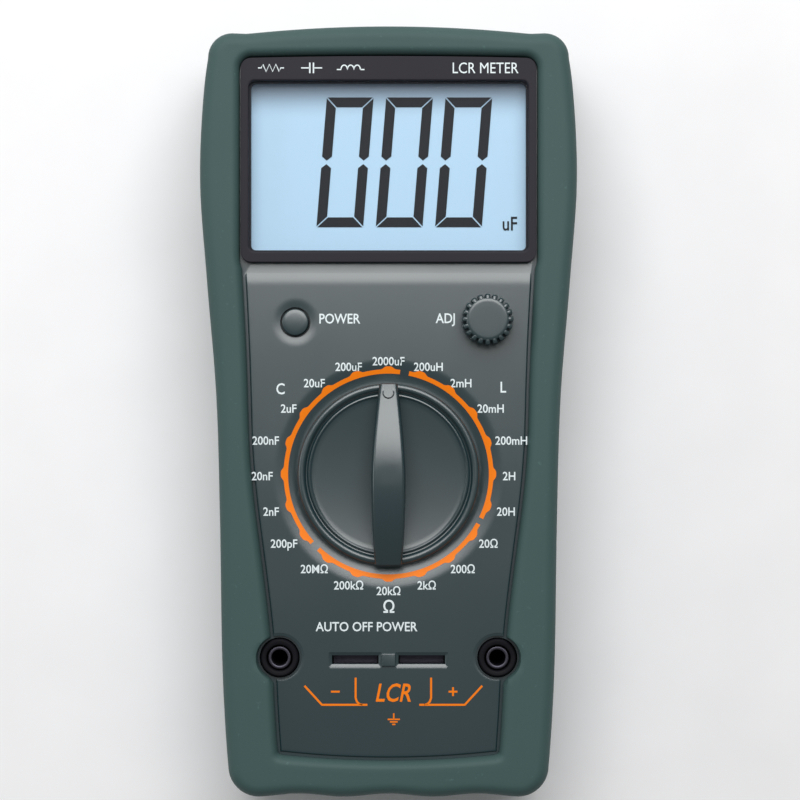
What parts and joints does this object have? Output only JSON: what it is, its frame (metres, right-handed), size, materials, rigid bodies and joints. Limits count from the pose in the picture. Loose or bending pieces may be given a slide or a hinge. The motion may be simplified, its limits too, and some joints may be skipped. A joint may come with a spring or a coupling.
{
  "type": "component tester",
  "caption": "Handheld component tester in a rubber holster: display, sprung power button, zero adjuster, clicking range dial, round test jacks, component slots and a folding tilt stand.",
  "frame": {"origin": "centre of the bounding box's bottom face: the middle of the back of the holster, on the bench it lies on", "axes": "+X to the right seen from the front, +Y towards the display end, +Z out of the front panel"},
  "size_m": [0.093, 0.19, 0.041],
  "materials": {
    "holster_rubber": "soft matt thermoplastic rubber",
    "panel_plastic": "fine satin",
    "case_plastic": "fine texture",
    "bezel_plastic": "fine texture",
    "lens_clear": "clear",
    "lcd_glass": "satin polariser",
    "zebra_rubber": "matt",
    "white_plastic": "satin",
    "circuit_board": "solder mask",
    "black_plastic": "satin",
    "steel": "plated",
    "fuse_glass": "clear",
    "brass": "satin",
    "control_plastic": "satin",
    "blue_plastic": "satin",
    "felt": "pressed",
    "jack_plastic": "moulded",
    "battery_can": "printed wrap",
    "red_insulation": "pvc",
    "foam": "open cell",
    "dark_nickel": "dark plated",
    "print_white": "screen print",
    "print_orange": "screen print",
    "lcd_ink": "liquid crystal segment"
  },
  "bodies": {
    "meter": {"holster": "holster_rubber", "front_case": "panel_plastic", "rear_case": "case_plastic", "display_bezel": "bezel_plastic", "display_lens": "lens_clear", "lcd_panel": "lcd_glass", "zebra_strip": "zebra_rubber", "backlight_panel": "white_plastic", "lcd_frame": "white_plastic", "main_pcb": "circuit_board", "meter_chip": "black_plastic", "pcb_screw_1": "steel", "pcb_screw_2": "steel", "pcb_screw_3": "steel", "pcb_screw_4": "steel", "fuse": "fuse_glass", "fuse_clip_1": "brass", "fuse_clip_2": "brass", "power_switch_body": "black_plastic", "adj_pot_body": "blue_plastic", "dial_washer": "felt", "jack_insulator_neg": "jack_plastic", "jack_sleeve_neg": "dark_nickel", "jack_insulator_pos": "jack_plastic", "jack_sleeve_pos": "dark_nickel", "test_socket": "black_plastic", "test_clip_neg": "dark_nickel", "test_clip_pos": "dark_nickel", "battery_9v": "battery_can", "battery_snap": "black_plastic", "battery_lead_red": "red_insulation", "battery_lead_black": "jack_plastic", "battery_pad": "foam", "case_screw_1": "steel", "case_screw_2": "steel", "case_screw_3": "steel", "case_screw_4": "steel"},
    "dial": {"dial_knob": "control_plastic", "dial_rotor": "white_plastic", "detent_ball_1": "steel", "detent_ball_2": "steel", "detent_spring_1": "steel", "detent_spring_2": "steel", "wiper_contact_1": "brass", "wiper_contact_2": "brass", "wiper_contact_3": "brass", "wiper_contact_4": "brass"},
    "adjuster": {"adj_knob": "control_plastic", "adj_shaft": "steel"},
    "power": {"power_button": "control_plastic", "power_switch_plunger": "white_plastic", "power_switch_spring": "steel"},
    "stand": {"tilt_stand": "case_plastic"},
    "battery_cover": {"battery_door": "case_plastic", "battery_door_screw": "steel"}
  },
  "joints": [
    {"name": "dial_turn", "type": "hinge", "parent": "meter", "child": "dial", "pos_m": [0, -0.0154, 0.03], "axis": [0, 0, -1], "continuous": true},
    {"name": "adjuster_turn", "type": "hinge", "parent": "meter", "child": "adjuster", "pos_m": [0.0243, 0.0226, 0.03], "axis": [0, 0, -1], "range_deg": [-140, 140]},
    {"name": "power_press", "type": "slide", "parent": "meter", "child": "power", "axis": [0, 0, -1], "range_m": [0, 0.002], "stiffness_N_per_m": 900, "springref_m": -0.0008, "deforming": ["power_switch_spring"]},
    {"name": "stand_fold", "type": "hinge", "parent": "meter", "child": "stand", "pos_m": [0, 0.052, 0.0036], "axis": [1, 0, 0], "range_deg": [0, 60]},
    {"name": "battery_door_lift", "type": "slide", "parent": "meter", "child": "battery_cover", "axis": [0, 0, -1], "range_m": [0, 0.02]}
  ]
}
